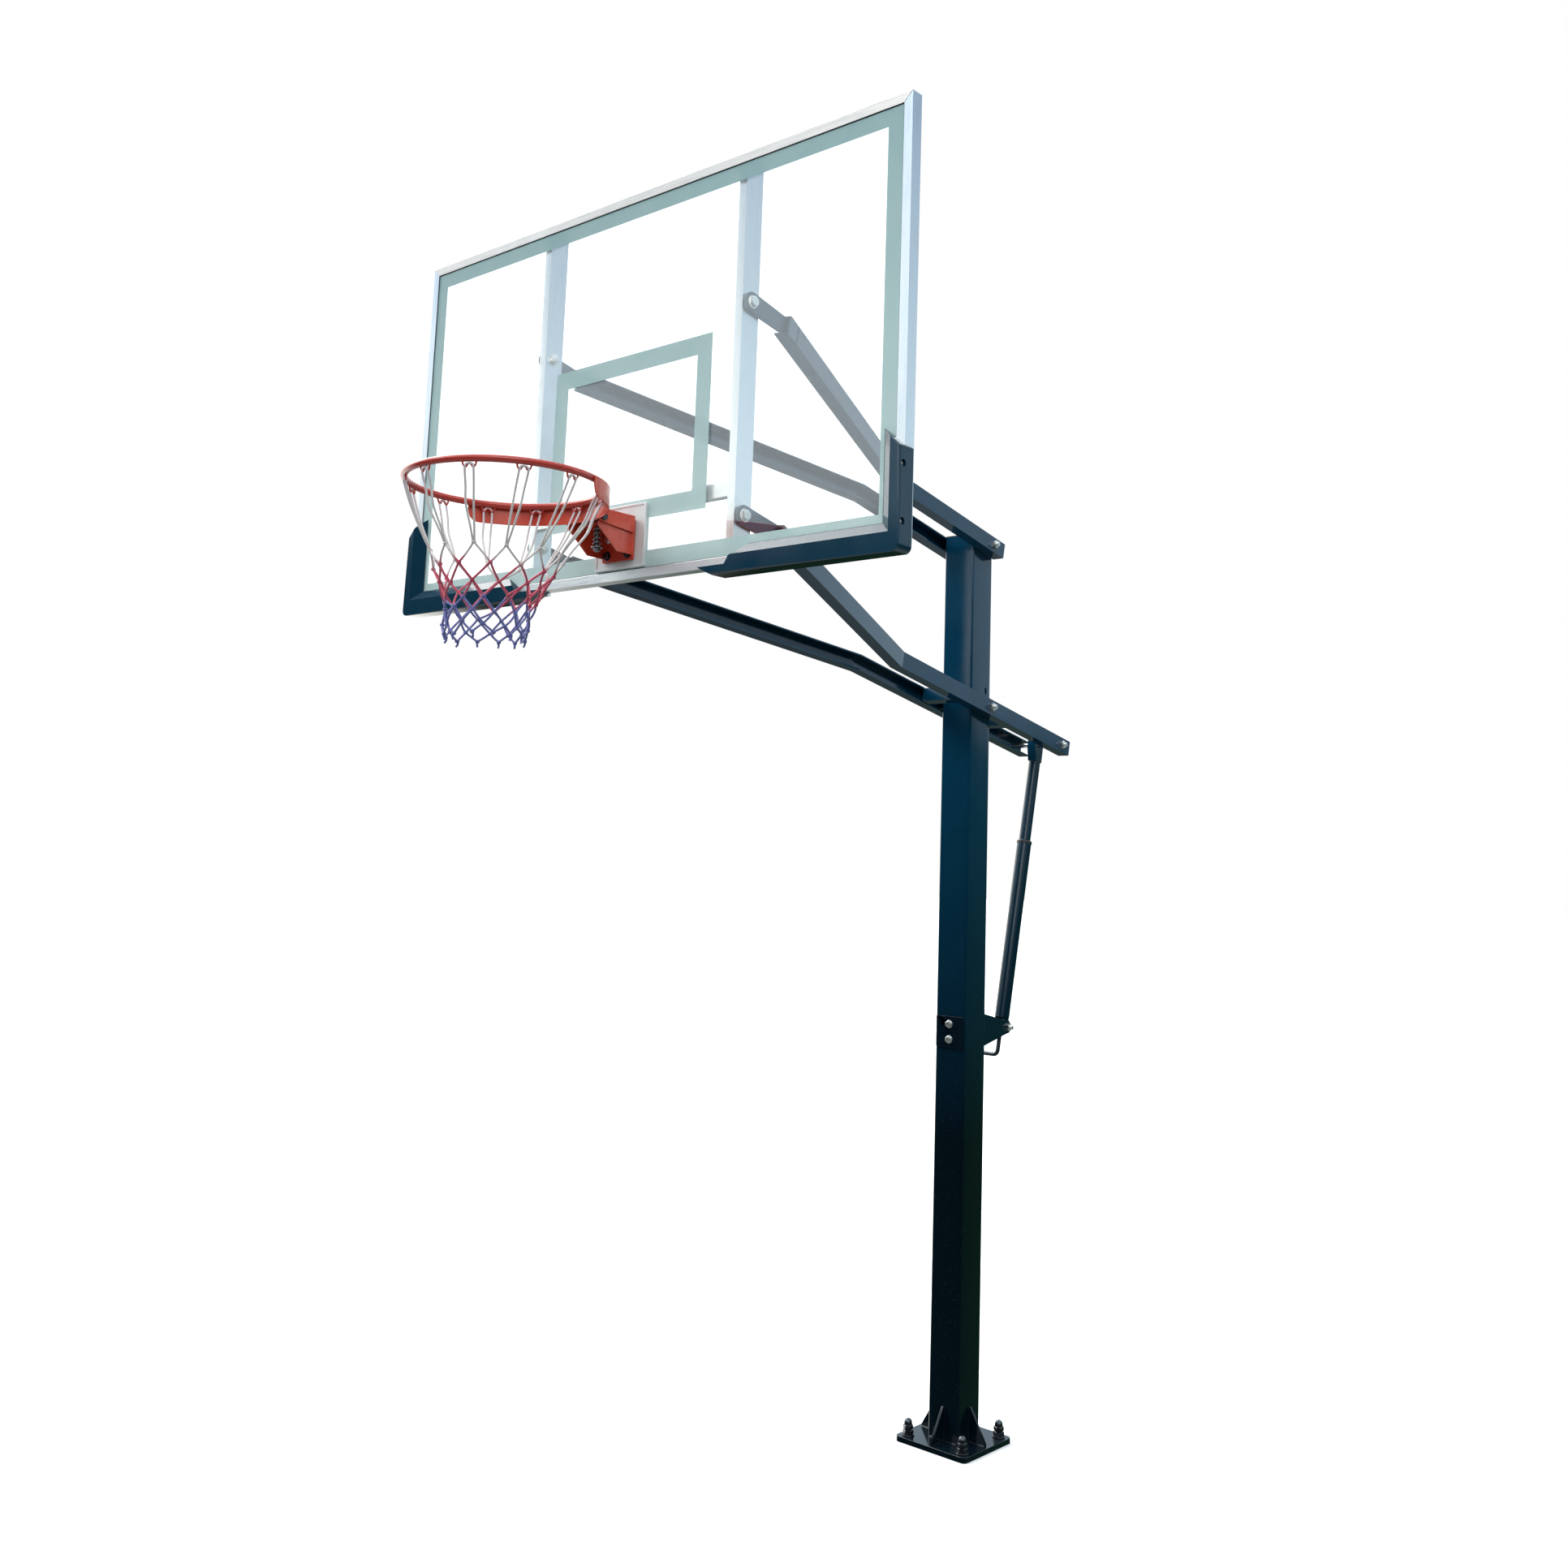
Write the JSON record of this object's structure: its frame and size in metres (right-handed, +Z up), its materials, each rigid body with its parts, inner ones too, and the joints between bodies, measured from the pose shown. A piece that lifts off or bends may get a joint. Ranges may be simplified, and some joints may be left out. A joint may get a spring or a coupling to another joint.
{
  "type": "height-adjustable basketball hoop",
  "caption": "Basketball hoop on a bolted-down square pole: glass backboard on parallelogram arms with a crank jack, and a sprung breakaway rim with net.",
  "frame": {"origin": "centre of the base plate's underside", "axes": "+Z up, the backboard faces -Y, +X to the right of a player's view from behind the board"},
  "size_m": [1.812, 2.7048, 3.502],
  "materials": {
    "navy_powder_coat": "gloss powder coat",
    "aluminium": "satin",
    "board_glass": "polished",
    "orange_enamel": "gloss enamel",
    "silver_enamel": "satin enamel",
    "zinc_steel": "zinc plated",
    "dark_steel": "oiled",
    "corner_pad": "moulded skin",
    "net_cord": "braided nylon",
    "black_plastic": "moulded"
  },
  "bodies": {
    "pole": {"pole_tube": "navy_powder_coat", "pole_cap": "black_plastic", "base_plate": "navy_powder_coat", "gusset_front": "navy_powder_coat", "gusset_back": "navy_powder_coat", "gusset_left": "navy_powder_coat", "gusset_right": "navy_powder_coat", "anchor_bolt_front_left": "dark_steel", "anchor_bolt_front_right": "dark_steel", "anchor_bolt_back_left": "dark_steel", "anchor_bolt_back_right": "dark_steel", "jack_bracket": "navy_powder_coat", "clamp_plate_front": "navy_powder_coat", "clamp_bolt_lower": "zinc_steel", "clamp_bolt_upper": "zinc_steel", "lower_pivot_bolt": "zinc_steel", "upper_pivot_bolt": "zinc_steel", "jack_foot_bolt": "zinc_steel"},
    "lower_arms": {"lower_arm_left": "navy_powder_coat", "lower_arm_right": "navy_powder_coat", "lower_brace_front": "navy_powder_coat", "lower_brace_back": "navy_powder_coat", "jack_top_bolt": "zinc_steel"},
    "upper_arms": {"upper_arm_left": "navy_powder_coat", "upper_arm_right": "navy_powder_coat"},
    "backboard": {"frame_rail_bottom": "aluminium", "frame_rail_left": "aluminium", "frame_rail_top": "aluminium", "frame_rail_right": "aluminium", "glass_panel": "board_glass", "upright_left": "aluminium", "upright_right": "aluminium", "front_bolt_lower_left": "zinc_steel", "front_bolt_upper_left": "zinc_steel", "front_bolt_lower_right": "zinc_steel", "front_bolt_upper_right": "zinc_steel", "cross_rail_lower": "aluminium", "cross_rail_upper": "aluminium", "corner_pad_left": "corner_pad", "corner_pad_right": "corner_pad", "rim_mount_plate": "silver_enamel", "rim_backing_plate": "zinc_steel", "rim_bracket": "orange_enamel", "rim_bolt_1": "zinc_steel", "rim_bolt_2": "zinc_steel", "rim_bolt_3": "zinc_steel", "rim_bolt_4": "zinc_steel", "rim_pivot_pin": "zinc_steel"},
    "rim": {"rim_ring": "orange_enamel", "rim_housing": "orange_enamel", "rim_spring_bolt": "zinc_steel", "rim_spring": "dark_steel", "net": "net_cord"},
    "jack_housing": {"jack_foot": "navy_powder_coat", "jack_housing": "navy_powder_coat", "jack_collar": "black_plastic"},
    "jack_rod": {"jack_rod": "navy_powder_coat", "jack_yoke": "navy_powder_coat"},
    "crank": {"crank_rod": "dark_steel", "crank_grip": "black_plastic"}
  },
  "joints": [
    {"name": "lower_arm_hinge", "type": "hinge", "parent": "pole", "child": "lower_arms", "pos_m": [0, 0, 2.278], "axis": [-1, 0, 0], "range_deg": [-12.5, 16.5]},
    {"name": "upper_arm_hinge", "type": "hinge", "parent": "pole", "child": "upper_arms", "pos_m": [0, 0, 2.819], "axis": [-1, 0, 0], "range_deg": [-12.6, 16.6]},
    {"name": "backboard_hinge", "type": "hinge", "parent": "lower_arms", "child": "backboard", "pos_m": [0, -1.532, 2.581], "axis": [-1, 0, 0], "range_deg": [-16.6, 12.6]},
    {"name": "rim_breakaway", "type": "hinge", "parent": "backboard", "child": "rim", "pos_m": [0, -1.7, 2.588], "axis": [1, 0, 0], "range_deg": [0, 20], "stiffness_Nm_per_rad": 400, "springref_deg": -34.38, "deforming": ["rim_spring"]},
    {"name": "jack_tilt", "type": "hinge", "parent": "pole", "child": "jack_housing", "pos_m": [0, 0.235, 1.24], "axis": [-1, 0, 0], "range_deg": [-1.2, 0.3]},
    {"name": "jack_extension", "type": "slide", "parent": "jack_housing", "child": "jack_rod", "axis": [0, 0.2112, 0.9774], "range_m": [-0.129, 0.098]},
    {"name": "crank_turn", "type": "hinge", "parent": "jack_housing", "child": "crank", "pos_m": [0, 0.235, 1.24], "axis": [0, 0.2112, 0.9774], "continuous": true}
  ],
  "couplings": [
    {"joint": "upper_arm_hinge", "follows": "lower_arm_hinge", "ratio": 1},
    {"joint": "backboard_hinge", "follows": "lower_arm_hinge", "ratio": -1},
    {"joint": "jack_tilt", "follows": "lower_arm_hinge", "ratio": -0.0152},
    {"joint": "jack_extension", "follows": "lower_arm_hinge", "m_per_rad": -0.44587}
  ]
}
